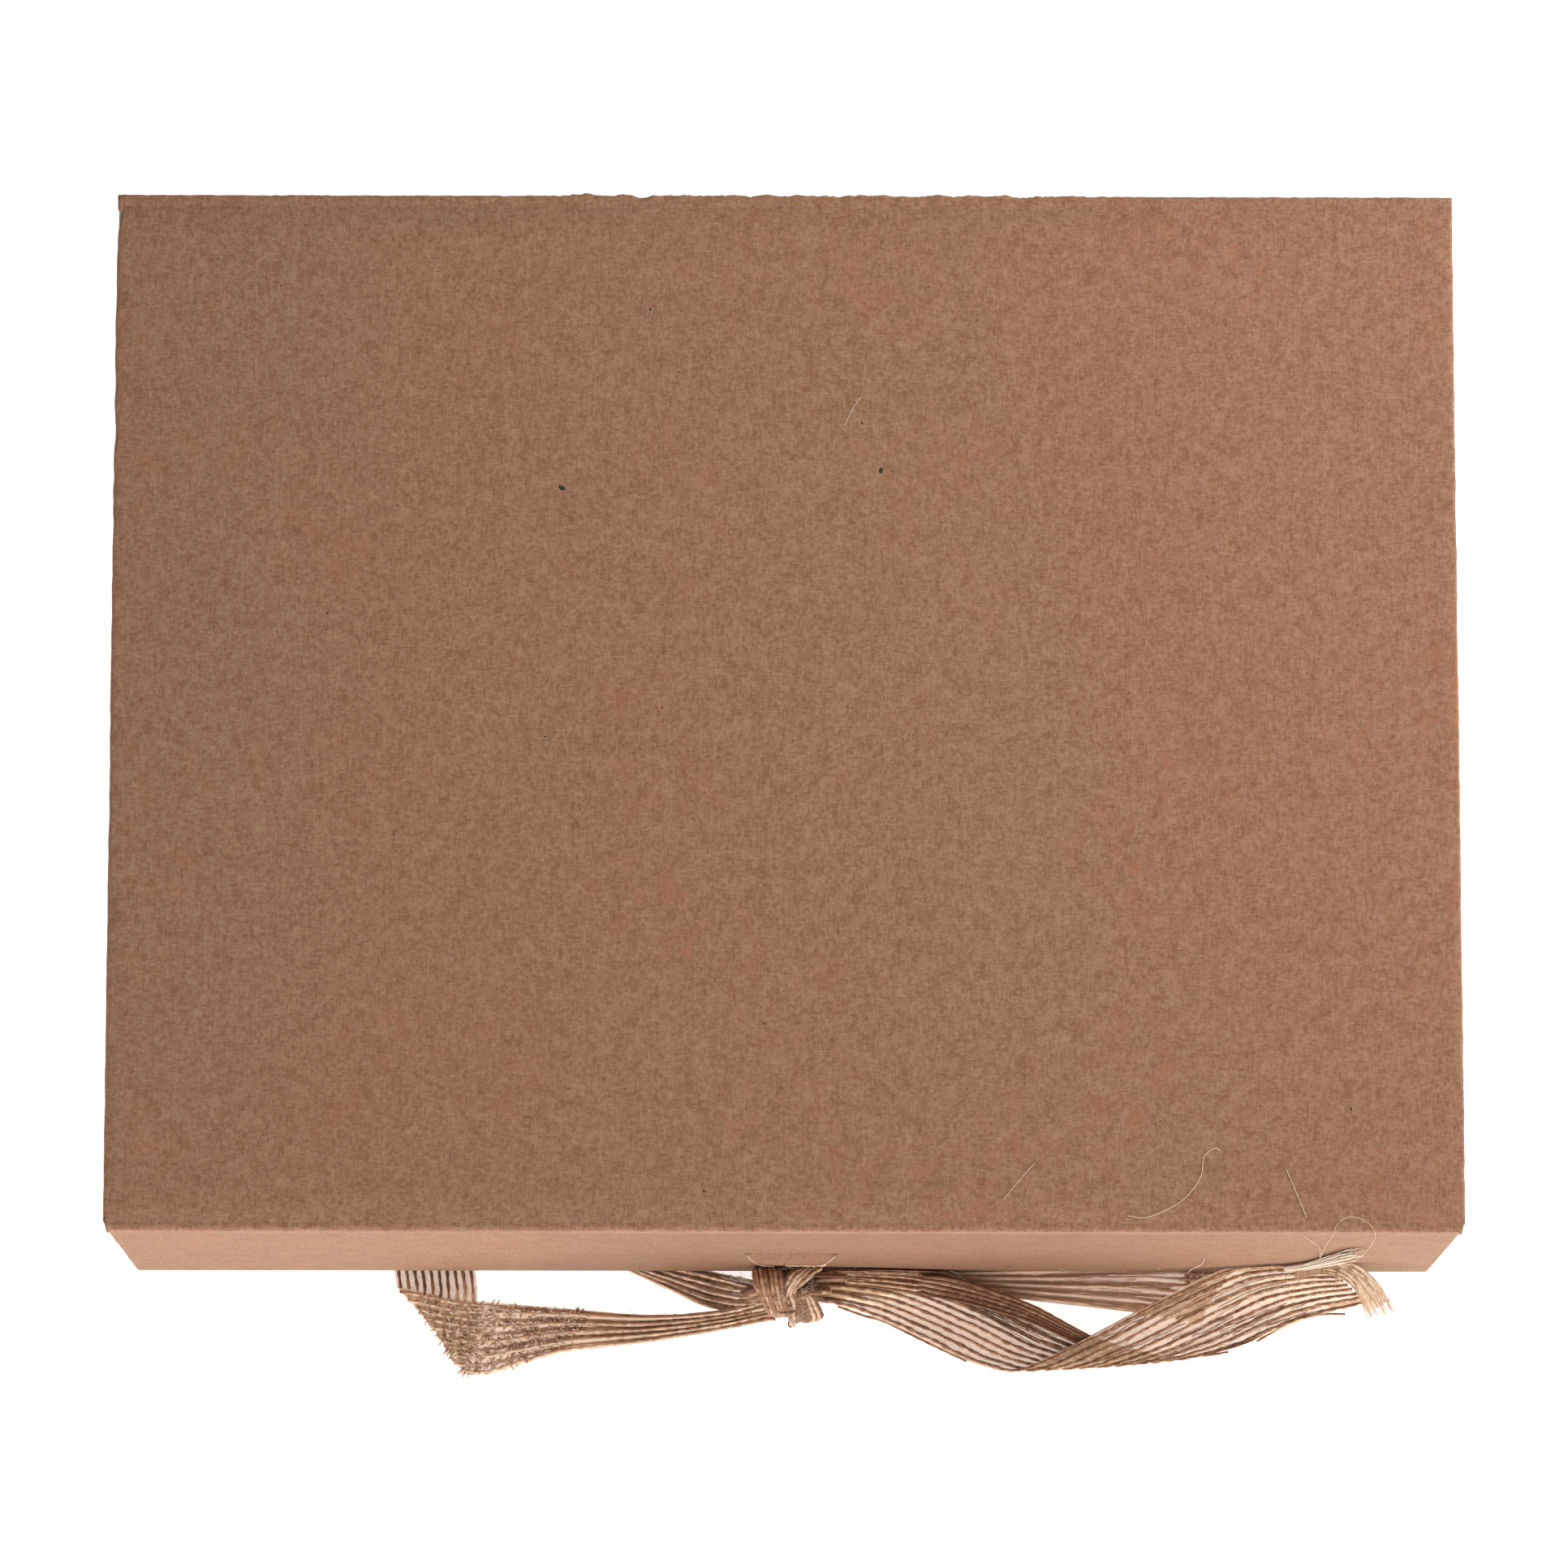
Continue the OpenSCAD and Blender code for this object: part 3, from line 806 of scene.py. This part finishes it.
def folded_surface(upper, lower, start_x, width, total, samples, side):
    """A strand that runs forward, folds over on a slant and goes on along the box's front.

    Every yarn keeps its length through the fold. side -1 is the left strand, 1 its mirror image."""
    n = 240
    up, lo = spline(upper, n), spline(lower, n)
    (fold_x, fold_y, _), last, start_y = upper[0], upper[-1][0], WALL - 0.3

    def band(x, u):
        j = unit((x - fold_x) / (last - fold_x)) * (n - 1)
        a, b = int(j), min(int(j) + 1, n - 1)
        pu, pl = up[a].lerp(up[b], j - a), lo[a].lerp(lo[b], j - a)
        deep = min(2.2, spare((pu - pl).length))
        return pu.lerp(pl, u) + high(pleat(u, deep) + 0.15 * wob(x, u * 5, 0, 0.3, 4.0))

    def at(i, u):
        s = total * i / (samples - 1)
        across = u * width
        bulge = 3.6 * max(0.0, (u - 0.3) / 0.7) ** 1.3 + 0.35 * wob(0, u * 9, 0, 1.0, 3.0)
        turn_y = fold_y - across * 1.07 + 0.9 * max(0.0, (u - 0.82) / 0.18)
        fold_s = start_y - turn_y + 0.25 * bulge
        if s < fold_s:
            y = start_y - s
            k = unit(s / (start_y - fold_y))
            under = unit(s - (start_y - fold_y))
            x = lerp(start_x, fold_x, k) + across - bulge * max(0.0, 1 - (fold_s - s) / 9) ** 1.5 * 0.7
            z = 0.75 + pleat(u, spare(width)) * (1 - under) + 0.45 * under + 0.1 * wob(x, y, 0, 0.5, 1.0)
            return Vector((x * -side, y, z))
        x = fold_x + across - bulge * 0.7 + (s - fold_s)
        p = band(x, u)
        held = max(0.0, 1 - (s - fold_s) / 14) ** 2
        p.y = lerp(p.y, turn_y - bulge * 0.25, held)
        press = unit((fold_x + width + 5 - x) / 5)
        over_yarns = 1.5 + 0.2 * cos(2 * pi * (x - fold_x - 0.8) / 1.6) + 0.3 * wob(x, p.y, 0, 0.9, 2.0)
        p.z = lerp(p.z, over_yarns, press)
        p.x = x * -side
        return p
    return at


# painted light and shade on the left strand: darker where it comes from under the flap and where it nears the knot,
# lighter over its fold
ribbon("left_strand", folded_surface(LEFT_UP, LEFT_LO, -77.6, WIDTH, LEFT_LENGTH, LEFT_N, -1), LEFT_N,
       "ribbon_left_strand", hairs=420, seed=1.0,
       tufts=((16, 100, 300, 0.6),), slubs=((26, 100, 950),), fibres=((100, 188, 0.0, 1.0, 70, 0.0, 0.8),),
       painted_light_and_shade=lambda t: (1.2 * unit((t - 0.06) / 0.07) - 0.6 + 0.7 * peak(t, 0.23, 0.1)
                       - 0.7 * max(0.0, (t - 0.75) / 0.25)))

# Long tail: from the knot down to the right, folded flat, then up against the flap to its frayed end
LEG1_UP = ahead([(1, 4.5, 9), (9, 1.6, 9.5), (20, 1.2, 8.5), (31, 1.7, 6), (47, 7.3, 3), (62, 14.2, 1.3),
                 (78, 18.6, 1)])
LEG1_LO = ahead([(2, 7.5, 5), (8.5, 8, 4.5), (15, 9.4, 2.4), (22, 12, 1.2), (29, 15.3, 0.9), (36, 18.8, 0.9),
                 (43, 21, 1)])
LEG2_UP = ahead([(43, 21.1, 1.2), (49, 19.9, 2.2), (61.2, 14.1, 3.4), (74, 7.6, 6.5), (87, 2, 12),
                 (97.6, 1.2, 17.5), (106, 1.5, 19)])
LEG2_LO = ahead([(78, 18.7, 1.2), (82, 18.2, 1.8), (86.5, 17.4, 2.8), (92, 15.8, 4), (98, 13.3, 5.4),
                 (106, 10.6, 7), (115.5, 8.6, 9.5)])
LEG_N = 130
TAIL_N = 2 * LEG_N - 1


def tail_surface():
    """Both legs of the long tail as one strip, u 0 the upper edge of the first leg."""
    a1, b1 = spline(LEG1_UP, LEG_N), spline(LEG1_LO, LEG_N)
    a2, b2 = spline(LEG2_LO, LEG_N), spline(LEG2_UP, LEG_N)

    def at(i, u):
        second = i >= LEG_N
        a, b = (a2, b2) if second else (a1, b1)
        j = min(i - LEG_N + 1 if second else i, LEG_N - 1)
        mid = a[j].lerp(b[j], u)
        deep = min(1.5, spare((b[j] - a[j]).length))
        wave = 0.5 * wob(j * 0.05, u * 2.2, 3.0 if second else 0.0, 1.0, 2.0)
        if second:
            t = j / (LEG_N - 1)
            mid.y -= 0.5 * sin(pi * u) * (1 - t)
            mid.z += 1.6 * sin(pi * u) * t
        mid.z += pleat(u, deep) * (0.5 if second else 1.0) + wave * 0.5 + 0.1
        if mid.z > 2.3:
            mid.y = min(mid.y, FRONT - 0.5)
        return mid
    return at


# a little painted shade on the long tail's first leg, next to the knot
ribbon("long_tail", tail_surface(), TAIL_N, "ribbon_long_tail", hairs=900, seed=2.0,
       fibres=((2, 120, 0.0, 0.4, 110, -0.2, 0.4), (140, 250, 0.0, 1.0, 40, 0.2, 0.9)),
       tones=[0.1, 0.35, 0.05, 0.4, 0.2, 0.5, 0.35, 0.55, 0.25, 0.4],
       painted_light_and_shade=lambda t: 0.08 * unit((t - 0.5) / 0.1) - 0.1)

# Right strand: the same at the right, its fold hidden under the flap and the long tail
RIGHT_UP = ahead([(-92, -1.6, 1.4), (-70, -1.2, 1.3), (-50, 0.4, 1.3), (-36, 0.9, 1.6), (-20, 1.6, 2.8),
                  (-9, 2.5, 4.4), (-2, 4, 5.5)])
RIGHT_LO = ahead([(-92, 10.6, 0.9), (-76, 9.9, 0.9), (-57, 7.9, 0.9), (-43, 6.4, 1), (-24, 5.8, 1.6),
                  (-11, 6.8, 2.4), (-2, 7.5, 3)])
RIGHT_N, RIGHT_LENGTH = 150, 92.0
# painted light on the right strand, most in its middle, where it lies in the long tail's shade
ribbon("right_strand", folded_surface(RIGHT_UP, RIGHT_LO, -78.0, 12.2, RIGHT_LENGTH, RIGHT_N, 1), RIGHT_N,
       "ribbon_right_strand", hairs=600, seed=3.0, mess=0.02,
       fibres=((26, 146, 0.0, 1.0, 170, 0.1, 0.8),),
       tones=[0.3, 0.5, 0.25, 0.5, 0.3, 0.2, 0.45, 0.2, 0.5, 0.25],
       painted_light_and_shade=lambda t: 0.5 + 1.3 * peak(t, 0.38, 0.34))

# Short tail: from the knot back to the left and under the flap
SHORT_UP = ahead([(-1, 5, 8), (-7, 3.2, 6), (-14, 1.4, 2.2), (-24, -0.5, 1.1), (-34, -2.2, 0.9)])
SHORT_LO = ahead([(-1, 8, 6), (-6, 9.2, 3.2), (-14, 8.6, 1.3), (-22, 5.2, 0.9), (-31, 1, 0.8)])
ribbon("short_tail", gathered_surface(SHORT_UP, SHORT_LO, 90, 4.0), 90, "ribbon_short_tail",
       hairs=600, seed=4.0, mess=0.06,
       fibres=((0, 88, 0.0, 1.0, 200, 0.4, 1.2), (35, 88, 0.5, 1.0, 70, 0.9, 2.0)),
       tones=[0.75, 1.0, 0.7, 1.0, 0.9, 1.1, 1.2, 1.4, 1.3, 1.7])


KNOT = Vector((1.3, F - 6.5, 6))


def bundle(b, path, half_widths, count, radius, tone, deep=0.9):
    """Gathered yarns side by side along a path, in two layers that lie away from the knot's middle; the inner layer
    is painted darker, as painted shade in the gaps between the outer yarns.
    """
    n, layers = 60, 2
    centre = spline(ahead(path), n)
    widths = spline([(s, 0, 0) for s in half_widths], n)
    for k in range(count):
        u = lerp(-1, 1, (k + 0.5) / count)
        height = (k % layers) * radius * deep - 0.55 * u * u
        off, pts = uniform(0, 9), []
        for i, c in enumerate(centre):
            t = (centre[min(i + 1, n - 1)] - centre[max(i - 1, 0)]).normalized()
            side = Vector((1, 0, 0)) - t * t.x
            if side.length < 0.2:
                side = Vector((0, 1, 0)) - t * t.y
            side.normalize()
            out = side.cross(t)
            if out.dot(c - KNOT) < 0:
                out = -out
            p = c + side * (u * widths[i].x + 0.22 * wob(i * 0.15, k * 2, 0, 0.8, off)) + out * height
            p.y = min(p.y, FRONT - 0.5)
            p.z = max(p.z, 0.5)
            pts.append(p)
        b.tube(pts, lambda s, o=off: radius * (1 + 0.2 * wob(s * 20 + o, 0, 0, 1.2, o)), 7,
               uniform(*tone) - 0.5 * (layers - 1 - k % layers), True)


def knot():
    """Two turns over a hidden heart, yarns crossing them, a pale yarn end in front, and fuzz."""
    b = Build()
    # heart of the knot, mostly hidden, its yarns dark as painted shade in the knot's gaps
    bundle(b, [(-6, 7, 5), (-2, 6.5, 8.5), (3, 6, 8.5), (8.5, 5.5, 6.5)],
           (3.2, 4.2, 4.2, 3.2), 12, 0.5, (-0.2, 0.4))
    bundle(b, [(-6, 9.5, 3), (-1.5, 9, 4.5), (2, 8.2, 5), (5, 7.4, 4.6)],
           (2.2, 2.6, 2.4, 1.6), 8, 0.45, (-0.2, 0.5))
    # left turn: over the top from under the tongue and down the front
    bundle(b, [(-3.2, 1.4, 4), (-3.4, 1.6, 9), (-3.1, 2.2, 13), (-2.7, 4.6, 14.4), (-2.1, 7.2, 12.8),
               (-1.4, 9.2, 9.2), (-0.9, 10.2, 5.2), (-0.6, 9.8, 1.8)],
           (2.1, 2.3, 2.6, 3.0, 3.0, 2.6, 2.2, 1.6), 13, 0.37, (0.05, 1.0), 0.8)
    # yarns lying across from the upper right
    bundle(b, [(6.6, 1.6, 11), (5, 2.4, 13.2), (3, 3.8, 14), (1.5, 5.6, 13.2), (0.9, 7.4, 10.8),
               (0.7, 9, 7)],
           (1.2, 1.6, 1.8, 1.5, 1.1, 0.8), 8, 0.33, (0.45, 1.3), 0.8)
    # right turn: lower, from the middle over to the front right
    bundle(b, [(2, 5.4, 8.6), (2.9, 6.6, 11.2), (3.9, 8.2, 10.4), (4.5, 9.8, 8), (4.7, 11, 5),
               (4.5, 11, 1.6)],
           (1.4, 2.2, 2.9, 3.3, 3.3, 2.6), 13, 0.36, (-0.1, 0.85), 0.8)
    # yarns crossing towards the long tail
    bundle(b, [(0.5, 3, 10.5), (4, 2.9, 11), (9, 2.9, 9.6), (18, 3.2, 7.8), (31, 4.6, 5.6), (47, 9, 4.4),
               (60, 15, 2.4), (66, 17.4, 1.4)],
           (1.3, 1.9, 2.4, 2.2, 1.8, 1.5, 1.2, 1.0), 9, 0.3, (0.1, 0.7))
    # small pale yarn end that sticks out in front
    end = ahead([(1.6, 10.6, 3.6), (1.9, 11.5, 3.6), (2.1, 12.3, 3.4), (2.2, 12.6, 3.3)])
    b.tube([Vector(p) for p in end], lambda t: 0.62 * math.sqrt(max(0.05, 1 - t ** 4)), 10, 1.0)
    ring = [Vector((2.0 + 0.85 * cos(a), F - 11.9 + 0.8 * sin(a), 3.6 + 0.2 * sin(a)))
            for a in [2 * pi * k / 20 for k in range(15)]]
    b.tube(ring, 0.16, 6, -0.2)
    for _ in range(420):
        a, e = uniform(0, 2 * pi), uniform(0.1, 1.3)
        d = Vector((cos(a) * cos(e), sin(a) * cos(e), sin(e)))
        p = Vector((1.3, F - 6.6, 6.5)) + Vector((d.x * 6.4, d.y * 4.6, d.z * 7.5))
        p.y = min(p.y, FRONT - 0.6)
        side = d.cross(random_vector())
        b.hair(p, side + d * 0.3, uniform(1, 3.2), tone=uniform(0.6, 1.2))
    o = b.place("ribbon_knot_turns", JUTE, "base")
    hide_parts("ribbon_knot")


def plain_surface(edge_a, edge_b, samples):
    """Point maker for a ribbon that lies flat between two edge curves."""
    a, b = spline(edge_a, samples), spline(edge_b, samples)
    return lambda i, u: a[i].lerp(b[i], u)


def ribbon_ends():
    """The ends glued inside the tray, with the run through the slot, down the front and under the flap."""
    slot_z = 8.75
    for side in ("left", "right"):
        lo, hi = node_box("ribbon_%s_anchor" % side)
        glued, y = hi.y - 0.25, WALL - 0.25
        line = [(glued, hi.z), (glued, slot_z + 6), (glued, slot_z + 1.2), (glued - 0.4, slot_z),
                (glued - 1.6, slot_z), (y + 0.6, slot_z), (y, slot_z - 0.9), (y, 4), (y - 0.1, 1.7),
                (y - 0.35, 0.95)]
        a, b = [[Vector((x, *p)) for p in line] for x in (lo.x, hi.x)]
        ribbon(side + "_anchor", plain_surface(a, b, 90), 90, "ribbon_%s_anchor" % side,
               hairs=20, seed=6.0, yarn_r=0.26)


def flap_ribbon():
    """The short ribbon glued inside the flap, which comes out through the window under the tongue."""
    lo, hi = node_box("flap_ribbon")
    n, glued, z = 90, hi.y - 0.2, WINDOW_HI.z - 5.1
    line = [(glued, hi.z), (glued, 40), (glued, z + 2), (glued - 0.5, z + 0.15), (glued - 1.6, z),
            (FRONT + 0.4, z), (FRONT - 0.35, z - 0.5), (FRONT - 0.7, z - 2.6), (FRONT - 1.2, lo.z + 0.6)]
    near, far = [spline([(x, *p) for p in line], n) for x in (lo.x, hi.x)]

    def at(i, u):
        """Folded in half lengthwise, so two layers lie on each other."""
        t = (near[min(i + 1, n - 1)] - near[max(i - 1, 0)]).normalized()
        out = Vector((0, t.z, -t.y)) * (0.12 if u < 0.5 else -0.12)
        return near[i].lerp(far[i], 1 - abs(2 * u - 1)) + out
    ribbon("flap_ribbon", at, n, "flap_ribbon", hairs=30, seed=8.0, body="flap",
           yarn_r=0.2)


def frayed_end():
    """Loose fibre at the cut end of the long tail."""
    b = Build()
    up = spline(ahead([(99, 1, 17.5), (103, 0.9, 21), (106.5, 0.9, 30), (109, 0.9, 38), (111, 1, 44)], FRONT), 20)
    # pale fibre, the upward tuft's tones raised further as painted light where it lies in the flap's shade
    for _ in range(110):
        off = Vector((random.gauss(0, 0.6), random.gauss(0, 0.5), random.gauss(0, 1.1)))
        n = random.randint(13, 20)
        pts = [p + off * (0.35 + i / 20) + high(0.2 * wob(i, off.x * 9, 0, 0.3, off.y))
               for i, p in enumerate(up[:n])]
        for p in pts:
            p.y = min(p.y, FRONT - 0.3)
        b.tube(pts, 0.11, 4, uniform(0.9, 1.7))
    down = spline(ahead([(101, 2.9, 18.5), (107, 2.3, 20.5), (112, 3.6, 19), (115.6, 6.8, 16), (118, 11, 13)]), 26)
    for _ in range(230):
        w = uniform(-1, 1)
        n = random.randint(16, 26)
        pts = []
        for i, p in enumerate(down[:n]):
            s = i / 25
            spread = Vector((1.3 * s + 0.4, 1.5 * (1 - s) + 0.3, 0.6)) * w * (0.8 + 0.9 * s)
            pts.append(p + spread + high(0.15 * wob(i * 0.4, w * 5, 0, 0.8, w)))
        for p in pts:
            p.y = min(p.y, FRONT - 0.4)
        b.tube(pts, 0.11, 4, uniform(-0.5, 0.7))
    for _ in range(26):
        p = Vector((uniform(100, 114), F - uniform(1.5, 6), uniform(14, 19)))
        b.hair(p, random_vector((0, 1), (-1, 0.2), (-0.3, 1)), uniform(2, 7))
    o = b.place("frayed_fibres", JUTE_PALE, "base")


def flap_hairs():
    """Stray hairs on the flap, one of which loops over the lid's edge."""
    b = Build()
    for path, n, radius in (
            ([(105, 0.6, 24), (104.6, 0.5, 50), (104.8, 0.5, 68), (105.6, -1.6, TOP + 0.5), (108.4, -2.9, TOP + 0.4),
              (111.6, -1.4, TOP + 0.6), (112.9, 0.7, TOP - 2), (112.8, 0.9, 46), (111.6, 1, 30), (109.6, 1.6, 22)],
             90, 0.045),
            ([(99.6, 0.5, 66), (103.5, 0.5, 48), (105, 0.7, 30), (107, 0.9, 22)], 40, 0.05),
            ([(80.3, 0.5, 4), (80.6, 0.6, 12), (82.2, 0.5, 20), (82.4, 0.5, 30)], 30, 0.07)):
        b.tube(spline(ahead(path, FRONT), n), radius, 4, 0.9)
    for x in (7, 12, 33, 58, 66, 74):
        b.hair((x, FRONT - 0.3, uniform(5, 12)), (uniform(-1, 1), -0.1, 1), uniform(3, 7))
    o = b.place("flap_hairs", JUTE_PALE, "flap")


def loose_yarns():
    """Yarns that have come away from the long tail."""
    b = Build()
    for path, n, radius, tone in (
            ([(108, 8.6, 7.5), (114, 8.0, 8.5), (120, 7.7, 9)], 14, 0.34, 0.5),
            ([(94, 15.2, 2.2), (98.3, 12.8, 3), (102.4, 10.8, 4), (107, 10, 4.5), (111.5, 10, 5)], 24, 0.24, 0.3),
            ([(74, 18.6, 1.6), (81.4, 17.9, 1.2), (84.6, 17.8, 1), (88.5, 17.1, 0.9)], 16, 0.22, 0.3),
            ([(11, 8.4, 3), (16, 10, 1.3), (20.3, 11.2, 0.8), (28.3, 15.1, 0.7), (36.5, 19, 0.7)], 40, 0.26, 0.15)):
        b.tube(spline(ahead(path), n), radius, 6, tone, True)
    o = b.place("loose_yarns", JUTE, "base")


def lid_litter():
    """Stray hairs and bark specks caught on the lid."""
    b = Build()
    z = TOP + 0.12
    hairs = [
        [(65.4, -98.5), (69.4, -98.8), (75.7, -95.7), (79.4, -91.2), (80.1, -87.2), (82.3, -85.5), (83.2, -86)],
        [(41.5, -95.8), (44.7, -91.9), (47.8, -88.4)],
        [(95.8, -89.5), (98.1, -95), (99.6, -98.8)],
        [(11.5, 55.5), (13, 58.7), (14.6, 61.2)],
    ]
    for h in hairs:
        b.tube(spline([(x, y, z + 0.1 * (i % 2)) for i, (x, y) in enumerate(h)], 30), 0.055, 4, 1.0)
    o = b.place("lid_hairs", JUTE_PALE, "lid")
    me = bpy.data.meshes.new("lid_specks")
    bm = bmesh.new()
    for x, y, r in ((-43.2, 43.1, 0.76), (18.6, 46.7, 0.62), (-26.2, 78.6, 0.32), (14.9, 56.1, 0.34),
                    (108.4, -77.9, 0.28), (-15.4, -93.9, 0.28), (-4, -61.5, 0.25), (-46.1, -5.8, 0.25),
                    (-23.6, -0.1, 0.25), (-88.3, 18.3, 0.2), (-75.1, -24.9, 0.2), (44.1, 38.6, 0.2)):
        ring = bmesh.ops.create_icosphere(bm, subdivisions=2, radius=1)["verts"]
        turn = uniform(0, 3.1)
        for v in ring:
            k = 1 + 0.35 * wob(v.co.x * 2, v.co.y * 2, 0, 1, x)
            px, py = v.co.x * r * k, v.co.y * r * 0.62 * k
            v.co = mm((x + px * cos(turn) - py * sin(turn),
                       y + px * sin(turn) + py * cos(turn), TOP + v.co.z * 0.04))
    bm.to_mesh(me)
    bm.free()
    o = new_object("lid_specks", me, SPECK, "lid")


knot()
ribbon_ends()
flap_ribbon()
frayed_end()
flap_hairs()
loose_yarns()
lid_litter()

# CAD pieces that show their own flat faces
for n in ("tray_wrap", "tray_floor_lining", "tray_wall_lining", "lid_lining", "flap_lining"):
    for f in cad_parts[n].data.polygons:
        f.use_smooth = False

# ---- floor, light, camera ----

floor_mesh = bpy.data.meshes.new("floor")
floor_mesh.from_pydata([(-6, -6, 0), (6, -6, 0), (6, 6, 0), (-6, 6, 0)], [], [(0, 1, 2, 3)])
pale = Nodes("pale_floor")
pale.fill(pale.shader, Base_Color=(0.86, 0.86, 0.86), Roughness=0.9, Specular_IOR_Level=0.1,
          Emission_Color=WHITE, Emission_Strength=0.77)
floor = new_object("floor", floor_mesh, pale.material, None, smooth=False)
floor.location.z = -0.0001


def area(name, place, target, size, watts):
    """A round lamp at a place, aimed at a target, both in metres."""
    li = bpy.data.lights.new(name, "AREA")
    li.shape, li.size, li.energy = "DISK", size, watts
    o = link(name, li)
    o.location = place
    o.rotation_euler = (Vector(target) - Vector(place)).to_track_quat("-Z", "Y").to_euler()


area("key", (0.55, 0.34, 0.48), (0.02, 0.0, 0.07), 0.4, 5.7)
area("top_front", (0.0, -0.75, 0.95), (0, -0.1, 0.0), 0.6, 2.1)
area("front_left", (-0.55, -0.78, 0.26), (0, -0.1, 0.03), 0.5, 4.9)
area("front_right", (0.60, -0.78, 0.25), (0, -0.1, 0.03), 0.5, 4.4)

world = bpy.data.worlds.new("studio")
bpy.context.scene.world = world
world.use_nodes = True
bg = world.node_tree.nodes["Background"]
bg.inputs["Color"].default_value = (1, 1, 1, 1)
bg.inputs["Strength"].default_value = 0.27

scene = bpy.context.scene
view = scene.view_settings
view.view_transform, view.look = "Standard", "None"
view.exposure, view.gamma = 0.0, 1.0

cam_data = bpy.data.cameras.new("camera")
cam_data.sensor_width = 36
cam_data.lens = 194.27
cam_data.clip_start, cam_data.clip_end = 0.05, 50
cam = link("camera", cam_data)
cam.location = (-0.00875, -0.29434, 1.67422)
cam.rotation_euler = (0.1724, -0.0055, 0.0008)
scene.camera = cam
